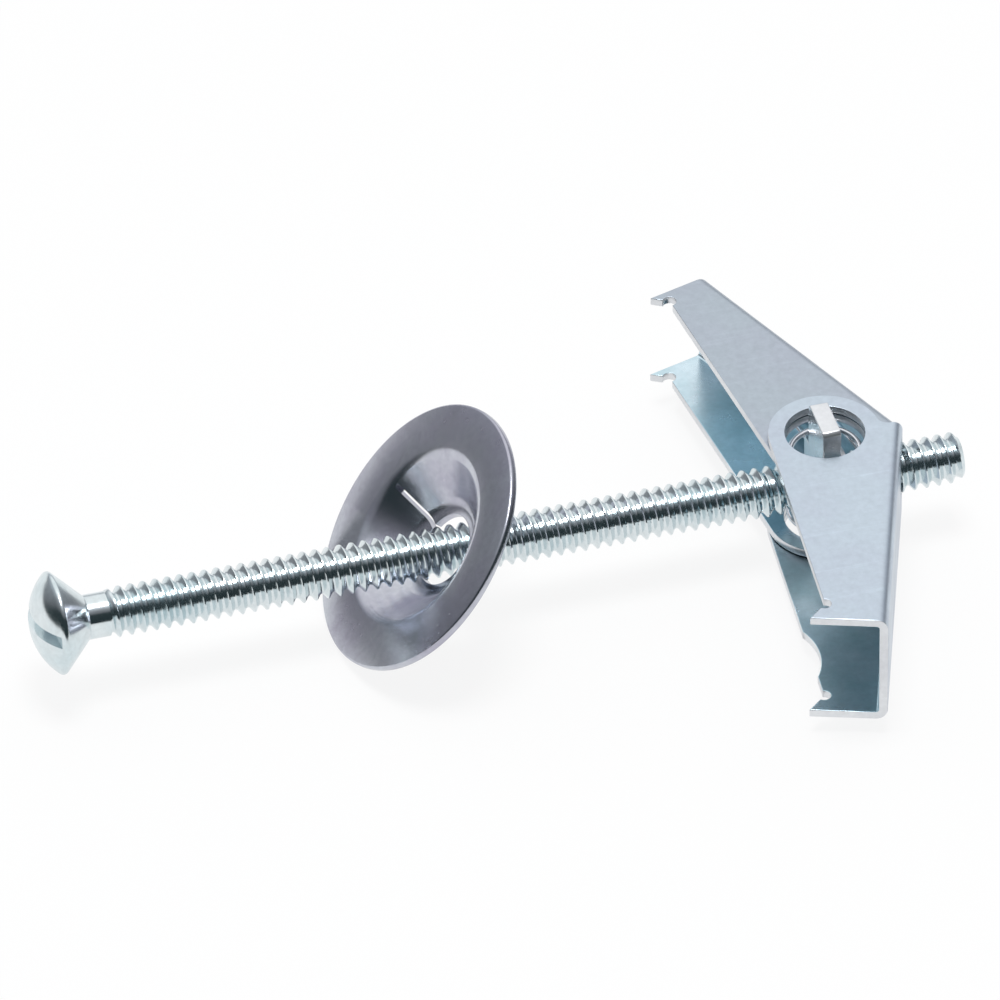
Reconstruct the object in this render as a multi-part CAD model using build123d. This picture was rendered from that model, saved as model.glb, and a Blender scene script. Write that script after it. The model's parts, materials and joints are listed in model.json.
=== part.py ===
"""Toggle bolt: slotted oval-head machine screw, dished washer, trunnion nut and two spring wings.

Each piece is drawn in the bolt frame: the bolt axis is X, from the head at minus X to the tip
at plus X, the pivot of the wings is the Z axis, and minus Y is the side of the outer wing.
All of it is then laid down as it rests on a flat surface, on the low rim of the washer and on
the lower tab of the nut. Sizes are in millimetres and angles in degrees.
"""
import os
from math import acos, atan2, cos, degrees, radians, sin, sqrt, tan

from build123d import *

# Screw
shank_diameter = 4.83
neck_diameter = 4.3
neck_end_below_rim = 4.4
pivot_to_head_rim = 75.6
pivot_to_tip = 13.3
tip_chamfer = 0.5
thread_run_out = 0.3
thread_pitch = 1.2
thread_depth = 0.55
thread_crest = 0.15
thread_flank_angle = 60.0
head_diameter = 9.9
head_dome_height = 2.25
head_rim_land = 0.3
head_cone_angle = 90.0
slot_width = 1.17
slot_depth = 1.9
slot_offset = 0.72
slot_turn = 6.0

# Washer
washer_diameter = 26.7
washer_sheet = 0.8
washer_edge_radius = 0.22
washer_dish_depth = 3.55
washer_dish_mouth_diameter = 16.9
washer_dish_floor_diameter = 9.5
washer_bend_radius = 1.45
washer_lean = 39.6
washer_play = 0.1
washer_station = -37.1
washer_slit_width = 0.5
washer_slit_reach = 8.0

# Trunnion nut
nut_plate_thickness = 1.8
nut_body_width = 7.7
nut_wall = 0.44
nut_collar_height = 1.1
nut_collar_wall = 0.6
nut_tab_width = 4.95
nut_tab_proud = 1.7
nut_tab_chamfer = 0.35
nut_thread_clearance = 0.05

# Wings
wing_sheet = 0.85
wing_side_clearance = 0.1
wing_bend_radius = 1.15
ear_end_radius = 5.4
ear_hole_radius = 3.8
ear_heel_radius = 1.0
web_gap_half = 0.3
bolt_notch_radius = 2.85
hook_radius = 0.63
outer_web_offset = 7.25
outer_web_angle = 19.1
outer_web_length = 27.3
outer_end_depth = 6.1
outer_end_skew = 0.0
outer_tooth_reach = 1.3
outer_tooth_height = 2.2
inner_web_offset = 7.15
inner_web_angle = 24.0
inner_web_length = 25.7
inner_end_depth = 5.2
inner_end_skew = 7.9
inner_tooth_reach = 1.17
inner_tooth_height = 1.35
scallop_radius = 6.6
scallop_depth = 0.9
scallop_station = 18.45

# Spring
wire_diameter = 0.58
spring_clearance = 0.05
coil_radius = 3.3
coil_slack = 0.16
outer_leg_length = 13.5
inner_leg_length = 11.7
bridge_corner_radius = 1.1

# Worked out from the sizes above
shank_radius = shank_diameter / 2
spare_length = 3 * thread_pitch
nut_body_half = shank_radius + nut_wall
coil_height = 2 * wire_diameter + coil_slack
inner_ear_face = nut_body_half + coil_height + 2 * spring_clearance
inner_wing_width = 2 * (inner_ear_face + wing_sheet)
outer_wing_width = inner_wing_width + 2 * (wing_side_clearance + wing_sheet)
nut_tab_half = outer_wing_width / 2 + nut_tab_proud
lean = radians(washer_lean)
washer_facing = Vector(-cos(lean), 0, sin(lean))
washer_upward = Vector(sin(lean), 0, cos(lean))
outer_side = -1
inner_side = 1


def thread_groove():
    """Right-hand groove between the thread's crests, from the neck to a turn beyond the tip."""
    flank = tan(radians(thread_flank_angle / 2))
    crest_half = (thread_pitch - thread_crest) / 2
    root_half = crest_half - thread_depth * flank
    root_radius = shank_radius - thread_depth
    beyond = thread_crest / 2
    start = neck_end_below_rim - pivot_to_head_rim
    path = Helix(pitch=thread_pitch, height=pivot_to_tip - start + thread_pitch, radius=shank_radius)
    section = Polyline(
        (root_radius, 0, -root_half),
        (root_radius, 0, root_half),
        (shank_radius + beyond, 0, crest_half + beyond * flank),
        (shank_radius + beyond, 0, -crest_half - beyond * flank),
        close=True,
    )
    return Pos(X=start) * Rot(Y=90) * sweep(make_face(section), path=path, is_frenet=True)


def tip_waste():
    """What is turned away at the tip: the spare length of the shank and the bevel round its end."""
    outside = shank_diameter
    section = Polyline(
        (pivot_to_tip - tip_chamfer, outside),
        (pivot_to_tip - tip_chamfer, shank_radius),
        (pivot_to_tip, shank_radius - tip_chamfer),
        (pivot_to_tip, 0),
        (pivot_to_tip + 2 * spare_length, 0),
        (pivot_to_tip + 2 * spare_length, outside),
        close=True,
    )
    return revolve(make_face(section), axis=Axis.X)


def screw_shape():
    """Oval countersunk head with its saw slot, a plain neck and the threaded shank."""
    head_radius = head_diameter / 2
    neck_radius = neck_diameter / 2
    cone_length = (head_radius - neck_radius) / tan(radians(head_cone_angle / 2))
    rim = -pivot_to_head_rim
    apex = rim - head_dome_height
    dome_radius = (head_radius**2 + head_dome_height**2) / (2 * head_dome_height)
    half_angle = atan2(head_radius, dome_radius - head_dome_height) / 2
    middle = (apex + dome_radius * (1 - cos(half_angle)), dome_radius * sin(half_angle))
    dome = ThreePointArc((apex, 0), middle, (rim, head_radius))
    flank = Polyline(
        (rim, head_radius),
        (rim + head_rim_land, head_radius),
        (rim + head_rim_land + cone_length, neck_radius),
        (rim + neck_end_below_rim, neck_radius),
        (rim + neck_end_below_rim + thread_run_out, shank_radius),
        (pivot_to_tip + spare_length, shank_radius),
        (pivot_to_tip + spare_length, 0),
        (apex, 0),
    )
    body = revolve(make_face(dome + flank), axis=Axis.X) - thread_groove() - tip_waste()
    slot = Box(slot_depth, 2 * head_diameter, slot_width, align=(Align.MIN, Align.CENTER, Align.CENTER))
    return body - Rot(X=-slot_turn) * Pos(apex, 0, slot_offset) * slot


def washer_hole_radius():
    """Half the hole that lets the shank through at the lean of the washer, with a little play."""
    return (shank_diameter + washer_sheet * sin(lean)) / cos(lean) / 2 + washer_play / 2


def washer_shape():
    """Pressed washer leaning on the bolt, its concave side to the head, with a slit in its dish."""
    floor = washer_sheet / 2
    brim = floor + washer_dish_depth
    floor_radius = washer_dish_floor_diameter / 2
    mouth_radius = washer_dish_mouth_diameter / 2
    wall_slope = atan2(washer_dish_depth, mouth_radius - floor_radius)
    shift = washer_sheet * tan(wall_slope / 2)
    outline = Polyline(
        (washer_hole_radius(), floor),
        (floor_radius, floor),
        (mouth_radius, brim),
        (washer_diameter / 2, brim),
        (washer_diameter / 2, brim - washer_sheet),
        (mouth_radius + shift, brim - washer_sheet),
        (floor_radius + shift, floor - washer_sheet),
        (washer_hole_radius(), floor - washer_sheet),
        close=True,
    )
    section = make_face(outline)
    bends = section.vertices().sort_by(Axis.X)[2:6]
    section = fillet(bends, washer_bend_radius)
    rim_corners = section.vertices().sort_by(Axis.X)[-2:]
    section = fillet(rim_corners, washer_edge_radius)
    body = revolve(Plane.XZ * section, axis=Axis.Z)
    slit = Box(washer_slit_reach, washer_slit_width, 4 * brim, align=(Align.MIN, Align.CENTER, Align.CENTER))
    body -= Rot(Z=90) * slit
    leaning = Plane(origin=(washer_station, 0, 0), x_dir=washer_upward, z_dir=washer_facing)
    return leaning * body


def washer_low_point():
    """Where the leaning washer's rim comes lowest."""
    across = washer_diameter / 2 - washer_edge_radius
    forward = washer_dish_depth - washer_sheet / 2 + washer_edge_radius
    edge_centre = Vector(washer_station, 0, 0) + washer_facing * forward - washer_upward * across
    return edge_centre - Vector(0, 0, washer_edge_radius)


def nut_shape():
    """Stamped plate across the bolt with a bored collar and two tabs that carry the wings."""
    plate = Box(nut_plate_thickness, nut_body_width, 2 * nut_body_half)
    plate = fillet(plate.edges().filter_by(Axis.X), nut_wall)
    tabs = Box(nut_plate_thickness, nut_tab_width, 2 * nut_tab_half)
    tabs = chamfer(tabs.edges().filter_by(Axis.X), nut_tab_chamfer)
    bore_radius = shank_radius + nut_thread_clearance
    collar_centre = (nut_plate_thickness + nut_collar_height) / 2
    collar = Pos(X=collar_centre) * Rot(Y=90) * Cylinder(bore_radius + nut_collar_wall, nut_collar_height)
    bore = Rot(Y=90) * Cylinder(bore_radius, 4 * (nut_plate_thickness + nut_collar_height))
    return plate + tabs + collar - bore


def wing_directions(side, angle):
    """Unit vectors of an open wing: along its web to the end, and from the pivot to the web."""
    slope = radians(angle)
    along = Vector(-sin(slope), side * cos(slope), 0)
    outward = Vector(cos(slope), side * sin(slope), 0)
    return along, outward


def wing_end(side, offset, angle, length, end_depth, end_skew, tooth_reach, tooth_height):
    """Corners at the far end of a wing: end of the web, tip of the tooth and root of the tooth."""
    along, outward = wing_directions(side, angle)
    end_line = outward.rotate(Axis.Z, -side * end_skew)
    web_end = outward * offset + along * length
    tooth_tip = web_end - end_line * (end_depth + tooth_reach)
    tooth_root = web_end - end_line * end_depth - along * tooth_height
    return web_end, tooth_tip, tooth_root


def open_edge_start(side, tooth_root):
    """Where the open edge, which runs straight to the tooth, leaves the round end at the pivot."""
    turn = atan2(tooth_root.Y, tooth_root.X) + side * acos(ear_end_radius / tooth_root.length)
    return Vector(ear_end_radius * cos(turn), ear_end_radius * sin(turn), 0)


def ear_outline(side, offset, angle, length, *end_sizes):
    """Flat outline of a wing seen along the pivot: round at the pivot, toothed at its end."""
    along, outward = wing_directions(side, angle)
    corner = outward * offset + along * ((side * web_gap_half - offset * outward.Y) / along.Y)
    web_end, tooth_tip, tooth_root = wing_end(side, offset, angle, length, *end_sizes)
    tangent = open_edge_start(side, tooth_root)
    heel = Vector(0, corner.Y, 0)
    flat = make_face(Polyline(corner, web_end, tooth_tip, tooth_root, tangent, (0, 0, 0), heel, close=True))
    flat -= Pos(tooth_root.X, tooth_root.Y) * Circle(hook_radius)
    flat += Circle(ear_end_radius)
    inner_corner = Vector(sqrt(ear_end_radius**2 - corner.Y**2), corner.Y, 0)
    return fillet(flat.vertices().sort_by_distance(inner_corner)[0], ear_heel_radius)


def wing_channel(width, offset, along, outward, length):
    """Bent sheet with its web at the given distance from the pivot, longer than any ear."""
    depth = offset + 3 * ear_end_radius
    outside = Pos(offset - depth / 2, 0) * Rectangle(depth, width)
    outside = fillet(outside.vertices().sort_by(Axis.X)[-2:], wing_bend_radius)
    hollow = Pos(offset - wing_sheet - depth / 2, 0) * Rectangle(depth, width - 2 * wing_sheet)
    hollow = fillet(hollow.vertices().sort_by(Axis.X)[-2:], wing_bend_radius - wing_sheet)
    start = 2 * ear_end_radius
    profile_plane = Plane(origin=along * -start, x_dir=outward, z_dir=along)
    return extrude(profile_plane * (outside - hollow), amount=start + length)


def wing_shape(side, width, offset, angle, length, *end_sizes):
    """Channel of bent sheet: a web on the tip side and two ears that hang on the nut's tabs."""
    along, outward = wing_directions(side, angle)
    channel = wing_channel(width, offset, along, outward, 2 * length)
    outline = ear_outline(side, offset, angle, length, *end_sizes)
    body = channel & extrude(outline, amount=width, both=True)
    body -= Cylinder(ear_hole_radius, 2 * width)
    notch = Rot(Y=90) * Cylinder(bolt_notch_radius, offset)
    return body - Pos(X=offset) * notch


def outer_wing_shape():
    """The wider wing, with a shallow scallop in the open edge of its lower ear."""
    sizes = (outer_web_offset, outer_web_angle, outer_web_length)
    end_sizes = (outer_end_depth, outer_end_skew, outer_tooth_reach, outer_tooth_height)
    body = wing_shape(outer_side, outer_wing_width, *sizes, *end_sizes)
    tooth_root = wing_end(outer_side, *sizes, *end_sizes)[-1]
    start = open_edge_start(outer_side, tooth_root)
    edge = (tooth_root - start).normalized()
    away = edge.rotate(Axis.Z, outer_side * 90)
    centre = start + edge * scallop_station + away * (scallop_radius - scallop_depth)
    scallop = Cylinder(scallop_radius, outer_wing_width, align=(Align.CENTER, Align.CENTER, Align.MAX))
    return body - Pos(centre.X, centre.Y) * scallop


def inner_wing_shape():
    """The narrower wing, nested between the ears of the other."""
    sizes = (inner_web_offset, inner_web_angle, inner_web_length)
    end_sizes = (inner_end_depth, inner_end_skew, inner_tooth_reach, inner_tooth_height)
    return wing_shape(inner_side, inner_wing_width, *sizes, *end_sizes)


def leg_end(side, offset, angle, reach):
    """Where a spring leg bears on the inside of a wing's web."""
    along, outward = wing_directions(side, angle)
    inside = offset - wing_sheet - wire_diameter / 2 - spring_clearance
    return outward * inside + along * reach


def leg_start_angle(side, end):
    """Angle on the coil, in degrees, from which a straight leg runs to its end."""
    return degrees(atan2(end.Y, end.X) - side * acos(coil_radius / end.length))


def coil_point(angle, height):
    """Point on the centre line of the coil."""
    return Vector(coil_radius * cos(radians(angle)), coil_radius * sin(radians(angle)), height)


def wire_along(path):
    """Stretch of wire along a path, cut off square at both ends."""
    return sweep(Plane(origin=path @ 0, z_dir=path % 0) * Circle(wire_diameter / 2), path=path)


def round_joint(point):
    """Ball as thick as the wire, which joins two stretches or rounds an end."""
    return Pos(point) * Sphere(wire_diameter / 2)


def spring_shape():
    """Double torsion spring: a turn round each tab, a bridge in the inner wing, two outer legs."""
    low = nut_body_half + spring_clearance + wire_diameter / 2
    high = low + coil_height - wire_diameter
    inner_end = leg_end(inner_side, inner_web_offset, inner_web_angle, inner_leg_length)
    outer_end = leg_end(outer_side, outer_web_offset, outer_web_angle, outer_leg_length)
    inner_angle = leg_start_angle(inner_side, inner_end)
    outer_angle = leg_start_angle(outer_side, outer_end)
    turns = 1 + (inner_angle - outer_angle) / 360
    helix = Helix(pitch=(high - low) / turns, height=high - low, radius=coil_radius, lefthand=True)
    coil = Pos(Z=low) * Rot(Z=inner_angle) * helix
    outer_leg = Line(coil_point(outer_angle, high), Vector(outer_end.X, outer_end.Y, high))
    upper = wire_along(coil) + round_joint(coil @ 0) + round_joint(coil @ 1)
    upper += wire_along(outer_leg) + round_joint(outer_leg @ 1)
    rise = Vector(0, 0, low)
    bridge_points = [
        coil_point(inner_angle, low),
        inner_end + rise,
        inner_end - rise,
        coil_point(inner_angle, -low),
    ]
    bridge = wire_along(FilletPolyline(*bridge_points, radius=bridge_corner_radius))
    return upper + bridge + mirror(upper, about=Plane.XY)


def rest_location():
    """Turn that lays the bolt down on the washer's low rim and the foot of the nut's lower tab."""
    low = washer_low_point()
    washer_is_lower = low.Z < -nut_tab_half
    foot_x = nut_plate_thickness / 2 if washer_is_lower else -nut_plate_thickness / 2
    slope = atan2(-nut_tab_half - low.Z, foot_x - low.X)
    return Rot(Y=degrees(slope))


def main():
    """Write each piece, lying as it rests, with the middle of the footprint at the origin."""
    pieces = {
        "screw": screw_shape(),
        "washer": washer_shape(),
        "trunnion_nut": nut_shape(),
        "outer_wing": outer_wing_shape(),
        "inner_wing": inner_wing_shape(),
        "wing_spring": spring_shape(),
    }
    laid = {name: rest_location() * shape for name, shape in pieces.items()}
    box = Compound(children=[Compound([shape]) for shape in laid.values()]).bounding_box()
    middle = box.center()
    place = Pos(-middle.X, -middle.Y, -box.min.Z)
    os.makedirs("parts", exist_ok=True)
    for name, shape in laid.items():
        export_step(place * shape, f"parts/{name}.step")
    frame = place * rest_location()
    pivot = frame.position
    print("pivot", tuple(pivot))
    print("bolt axis", tuple((frame * Pos(X=1)).position - pivot))
    print("pivot axis", tuple((frame * Pos(Z=1)).position - pivot))
    print("box", tuple(box.size))


if __name__ == "__main__":
    main()
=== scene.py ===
"""Toggle bolt: threads, sheet metal, spring and zinc plate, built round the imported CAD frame.

Meshes are shaped in the bolt frame, in millimetres: X runs along the bolt from the head to the
tip, the pivot of the wings is the Z axis, and minus Y is the side of the outer wing. Each one
is laid in place, in metres, when it is finished.
"""
import json
import math

import bmesh
import bpy
from mathutils import Matrix, Vector


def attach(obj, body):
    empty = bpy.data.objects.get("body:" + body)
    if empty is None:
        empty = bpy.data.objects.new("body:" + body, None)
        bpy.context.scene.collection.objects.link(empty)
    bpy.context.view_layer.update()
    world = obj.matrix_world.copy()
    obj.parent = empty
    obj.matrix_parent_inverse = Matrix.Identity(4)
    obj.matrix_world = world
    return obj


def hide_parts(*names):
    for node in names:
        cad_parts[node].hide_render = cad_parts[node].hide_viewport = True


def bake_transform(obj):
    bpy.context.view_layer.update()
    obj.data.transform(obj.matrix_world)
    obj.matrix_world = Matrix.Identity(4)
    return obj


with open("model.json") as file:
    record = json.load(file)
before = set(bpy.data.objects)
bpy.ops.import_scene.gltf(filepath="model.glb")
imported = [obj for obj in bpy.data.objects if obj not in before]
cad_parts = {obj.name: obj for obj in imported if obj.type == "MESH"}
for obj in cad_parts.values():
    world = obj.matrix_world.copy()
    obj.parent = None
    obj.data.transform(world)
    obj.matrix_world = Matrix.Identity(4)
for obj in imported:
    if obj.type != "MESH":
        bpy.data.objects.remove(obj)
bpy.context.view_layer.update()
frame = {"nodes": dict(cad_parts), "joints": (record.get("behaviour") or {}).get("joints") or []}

bl_info = {
    "name": "Toggle Bolt",
    "version": (1, 0, 0),
    "blender": (4, 5, 0),
    "location": "3D View > Sidebar > Toggle Bolt",
    "description": "Builds a zinc plated toggle bolt round its CAD frame",
    "category": "Object",
}

MM = 0.001

# Fineness of the meshes, and distances in millimetres.
ROUND_STEPS = 128
DOME_STEPS = 14
THREAD_STEPS = 48
COIL_STEPS = 40
CORNER_STEPS = 8
WASHER_BEND_STEPS = 8
WASHER_RIM_STEPS = 3
WASHER_HOLE_STEPS = 2
BEVEL_STEPS = 2
ROUND_PROFILE = 0.5
WIRE_SIDES = 20
WIRE_END_ANGLES = (0, 25, 50, 75)
MERGE_DISTANCE = 0.002
CUT_DISTANCE = MERGE_DISTANCE / 10
SHARP_ANGLE = math.radians(32)
FLAT_ANGLE = math.radians(0.4)

# Half a pitch of the thread, from root to crest: shares of the pitch and of the depth.
THREAD_PROFILE = ((0, 0), (0.08, 0.02), (0.15, 0.14), (0.4, 0.88), (0.45, 0.99), (0.5, 1))
# Pitches wound ahead of the thread and past it, which are cut away.
THREAD_SPARE = 1.5

# Turn of a coil, from each of its ends, that is built into the piece at that end.
SPRING_SPLIT = math.radians(100)

# How squarely a face has to look one way, from 0 to 1, to count as inside a channel, as the
# flat of an ear or as a cut edge, and how far past the notch its edge is looked for.
INNER_EAR_FACING = 0.5
INNER_WEB_FACING = 0.1
EAR_FACING = 0.8
EDGE_FACING = 0.6
NOTCH_MARGIN = 1.05

# Noises in the plate, with scales per metre. The rub marks run along one turned axis.
PLATE_NOISES = {
    "clouds": {"Scale": 170.0, "Detail": 4.0, "Roughness": 0.55},
    "mottle": {"Scale": 1500.0, "Detail": 5.0, "Roughness": 0.65},
    "grain": {"Scale": 5200.0, "Detail": 2.0, "Roughness": 0.6},
    "rubs": {"Scale": 1.0, "Detail": 3.0, "Roughness": 0.5},
}
RUB_TURN = (0.3, 0.2, 0.9)
RUB_SCALE = (60.0, 2600.0, 2600.0)
# Ranges and what they are carried over to: from least, from most, to least, to most.
PLATE_RANGES = {
    "cloud_share": (0.38, 0.68, 0.0, 1.0),
    "rub_share": (0.6, 0.74, 0.0, 1.0),
    "mottle_light": (0.3, 0.7, 0.93, 1.05),
    "rub_light": (0.0, 1.0, 1.0, 1.12),
    "cloud_roughness": (0.3, 0.7, -0.05, 0.06),
    "rub_roughness": (0.0, 1.0, 0.0, 0.12),
    "mottle_relief": (0.0, 1.0, 0.0, 0.6),
    "grain_relief": (0.0, 1.0, 0.0, 0.4),
}
# How each metal's plate differs. The screw is the glossiest and the washer the greyest, the
# passivation lies thickest in the channels, and cut edges are the roughest.
PLATES = {
    "screw": {"cast": "teal", "cast_share": 0.25, "roughness_shift": -0.1, "relief": 0.008},
    "washer": {"cast": "violet", "cast_share": 0.7, "roughness_shift": -0.05, "rubbed": 0.2},
    "nut": {"cast": "teal", "cast_share": 0.1},
    "outer_wing": {"cast": "violet", "cast_share": 0.2, "roughness_shift": 0.06, "rubbed": 0.5},
    # The inner wing's darker colour is painted shade: both wings are the same plated sheet.
    "inner_wing": {"cast": "violet", "cast_share": 0.2, "roughness_shift": 0.06, "rubbed": 0.5},
    "wing_inside": {"cast": "teal", "cast_share": 0.8, "roughness_shift": 0.03, "relief": 0.0},
    # The cut edges' lighter colour is a painted highlight; their extra roughness is their own.
    "sheared_edge_highlight": {"cast": "violet", "cast_share": 0.15, "roughness_shift": 0.08, "relief": 0.03},
    "spring": {"cast": "violet", "cast_share": 0.2, "roughness_shift": -0.08},
}
RELIEF_STRENGTH = 0.4

# The photograph's camera: degrees, metres, and its frame in millimetres from the pivot.
CAMERA_AZIMUTH = -16.0
CAMERA_ELEVATION = 40.0
CAMERA_DISTANCE = 3.0
CAMERA_REACH = 20.0
FRAME_WIDTH = 94.54
FRAME_CENTRE = (-30.68, -1.8)

# The way to the room's bright side, and the room's shades from the far side to that one.
ROOM_BRIGHT_SIDE = (0.1, 0.55, 0.83)
ROOM_SHADES = (
    (0.0, (0.02, 0.03, 0.034)),
    (0.59, (0.032, 0.046, 0.05)),
    (0.66, (0.17, 0.175, 0.19)),
    (0.74, (0.27, 0.28, 0.3)),
    (0.82, (0.5, 0.52, 0.56)),
    (0.92, (1.05, 1.05, 1.05)),
)
# The lamp above the bolt and the floor under it, in metres and watts.
LAMP_PLACE = (0.0, 0.0, 1.1)
LAMP_WIDTH = 0.42
LAMP_POWER = 6.5
FLOOR_HALF_WIDTH = 6.0
FLOOR_ROUGHNESS = 0.9

joints = {joint["name"]: joint for joint in frame["joints"]}
pivot = Vector(joints["outer_wing_fold"]["pos_m"])
bolt_axis = -Vector(joints["washer_slide"]["axis"]).normalized()
pivot_axis = Vector(joints["inner_wing_fold"]["axis"]).normalized()
side_axis = pivot_axis.cross(bolt_axis)
bolt_frame = Matrix((bolt_axis, side_axis, pivot_axis)).transposed().to_4x4()
bolt_frame.translation = pivot


def length(name, description, millimetres):
    """A length that a user may change, given here in millimetres."""
    return bpy.props.FloatProperty(
        name=name, description=description, default=millimetres * MM, unit="LENGTH", precision=5
    )


def angle(name, description, degrees):
    """An angle that a user may change, given here in degrees."""
    return bpy.props.FloatProperty(
        name=name, description=description, default=math.radians(degrees), unit="ROTATION"
    )


def colour(name, description, value):
    """A colour that a user may change."""
    return bpy.props.FloatVectorProperty(
        name=name, description=description, default=value, size=3, min=0, max=1, subtype="COLOR"
    )


def factor(name, description, value):
    """A share between 0 and 1 that a user may change."""
    return bpy.props.FloatProperty(
        name=name, description=description, default=value, min=0, max=1, subtype="FACTOR"
    )


class ScrewSizes(bpy.types.PropertyGroup):
    """Sizes of the machine screw."""

    major_diameter: length("Major diameter", "Outside of the thread", 4.83)
    minor_diameter: length("Minor diameter", "Bottom of the thread", 3.73)
    pitch: length("Pitch", "Distance between two crests", 1.2)
    neck_diameter: length("Neck diameter", "Plain stretch under the head", 4.3)
    neck_end: length("Neck end", "From the rim of the head to the end of the neck", 4.4)
    run_out: length("Run-out", "Stretch in which the thread grows to its full depth", 1.5)
    tip_chamfer: length("Tip chamfer", "Width of the bevel at the tip", 0.5)
    head_rim: length("Head rim", "From the pivot of the wings to the rim of the head", 75.6)
    tip: length("Tip", "From the pivot of the wings to the tip", 13.3)
    head_diameter: length("Head diameter", "Across the rim of the head", 9.9)
    dome_height: length("Dome height", "From the rim of the head to its top", 2.25)
    rim_land: length("Rim land", "Width of the upright band at the rim", 0.3)
    rim_round: length("Rim round", "Rounding of the two edges at the rim", 0.12)
    cone_angle: angle("Cone angle", "Full angle under the head", 90.0)
    slot_width: length("Slot width", "Across the driver slot", 1.17)
    slot_depth: length("Slot depth", "From the top of the dome to the bottom of the slot", 1.9)
    slot_offset: length("Slot offset", "From the axis to the middle of the slot", 0.72)
    slot_round: length("Slot round", "Rounding of the slot's lips", 0.08)
    slot_turn: angle("Slot turn", "Turn of the slot about the bolt", -6.0)


class WasherSizes(bpy.types.PropertyGroup):
    """Sizes of the dished washer."""

    diameter: length("Diameter", "Across the brim", 26.66)
    sheet: length("Sheet", "Thickness of the metal", 0.8)
    edge_radius: length("Edge radius", "Rounding of the outer edge", 0.22)
    hole_radius: length("Hole radius", "From the washer's middle to the edge of its hole", 3.516)
    hole_round: length("Hole round", "Rounding of the hole's edges", 0.1)
    dish_depth: length("Dish depth", "From the brim to the floor of the dish", 3.55)
    mouth_diameter: length("Mouth diameter", "Across the mouth of the dish", 16.9)
    floor_diameter: length("Floor diameter", "Across the floor of the dish", 9.5)
    bend_radius: length("Bend radius", "Rounding of the dish's two bends", 1.45)
    lean: angle("Lean", "Angle between the washer's axis and the bolt", 39.6)
    station: length("Station", "Where the washer's middle lies along the bolt", -37.1)
    slit_width: length("Slit width", "Across the slit in the dish", 0.5)
    slit_reach: length("Slit reach", "From the washer's middle to the end of the slit", 8.0)


class ToggleSizes(bpy.types.PropertyGroup):
    """Sizes of the wings and their edges, and of the spring."""

    wing_sheet: length("Wing sheet", "Thickness of the wings' metal", 0.85)
    edge_round: length("Edge round", "Rounding of the sheared edges", 0.1)
    bend_radius: length("Bend radius", "Outside of the bend between ear and web", 1.15)
    notch_radius: length("Notch radius", "Half the notch that the screw passes through", 2.85)
    outer_offset: length("Outer offset", "From the pivot to the outer wing's web", 7.25)
    outer_angle: angle("Outer angle", "Lean of the outer wing's web", 19.1)
    inner_offset: length("Inner offset", "From the pivot to the inner wing's web", 7.15)
    inner_angle: angle("Inner angle", "Lean of the inner wing's web", 24.0)
    wire_diameter: length("Wire diameter", "Thickness of the spring wire", 0.58)
    wire_clearance: length("Wire clearance", "Between the wire and the web that it presses", 0.05)
    coil_radius: length("Coil radius", "From the pivot to the middle of the wire", 3.3)
    coil_low: length("Coil low", "Where the coil starts above the bolt's axis", 3.195)
    coil_high: length("Coil high", "Where the coil ends above the bolt's axis", 3.935)
    outer_leg: length("Outer leg", "Reach of the two legs that press on the outer wing", 13.5)
    inner_leg: length("Inner leg", "Reach of the bridge that presses on the inner wing", 11.7)
    bridge_corner: length("Bridge corner", "Rounding of the bridge's corners", 1.1)


class ZincColours(bpy.types.PropertyGroup):
    """Colours of the plated metals and of the stage."""

    screw: colour("Screw", "Plate on the screw", (0.72, 0.78, 0.8))
    washer: colour("Washer", "Plate on the washer", (0.56, 0.585, 0.64))
    nut: colour("Nut", "Plate on the trunnion nut", (0.68, 0.73, 0.76))
    outer_wing: colour("Outer wing", "Plate on the outside of the outer wing", (0.53, 0.61, 0.69))
    # Darker than the outer wing's plate: painted shade on the inner wing, which is the same metal.
    inner_wing: colour("Inner wing", "Plate on the outside of the inner wing", (0.43, 0.49, 0.55))
    wing_inside: colour("Wing inside", "Plate in the channel of the wings", (0.66, 0.8, 0.88))
    # Lighter than the wings' plate: painted highlight along the cut edges.
    sheared_edge_highlight: colour("Sheared edge", "Plate on the cut edges of the sheet", (0.76, 0.78, 0.8))
    spring: colour("Spring", "Plate on the spring wire", (0.86, 0.88, 0.92))
    teal: colour("Teal", "Cast of the passivated plate, in clouds over it", (0.38, 0.58, 0.64))
    violet: colour("Violet", "Cast of the washer's plate, in clouds over it", (0.4, 0.38, 0.48))
    roughness: factor("Roughness", "Mean roughness of the plate", 0.27)
    floor: colour("Floor", "Colour of the floor", (0.9, 0.9, 0.9))
    floor_glow: factor("Floor glow", "Share of the floor that is white of itself", 0.88)


def scene_sizes(group):
    """The sizes or colours that the scene holds under a name."""
    return getattr(bpy.context.scene, "toggle_bolt_" + group)


def mm(value):
    """A length of the scene, in millimetres."""
    return value / MM


def add_outline(bm, points, closed=False):
    """Vertices joined by edges in the order given."""
    verts = [bm.verts.new(point) for point in points]
    pairs = list(zip(verts, verts[1:]))
    if closed:
        pairs.append((verts[-1], verts[0]))
    edges = [bm.edges.new(pair) for pair in pairs]
    return verts, edges


def spin_round(bm, outline, axis):
    """Turns an outline right round an axis through the origin."""
    verts, edges = outline
    bmesh.ops.spin(
        bm,
        geom=verts + edges,
        cent=(0, 0, 0),
        axis=axis,
        dvec=(0, 0, 0),
        angle=2 * math.pi,
        steps=ROUND_STEPS,
        use_merge=True,
        use_duplicate=False,
    )
    bmesh.ops.remove_doubles(bm, verts=bm.verts, dist=MERGE_DISTANCE)


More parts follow.
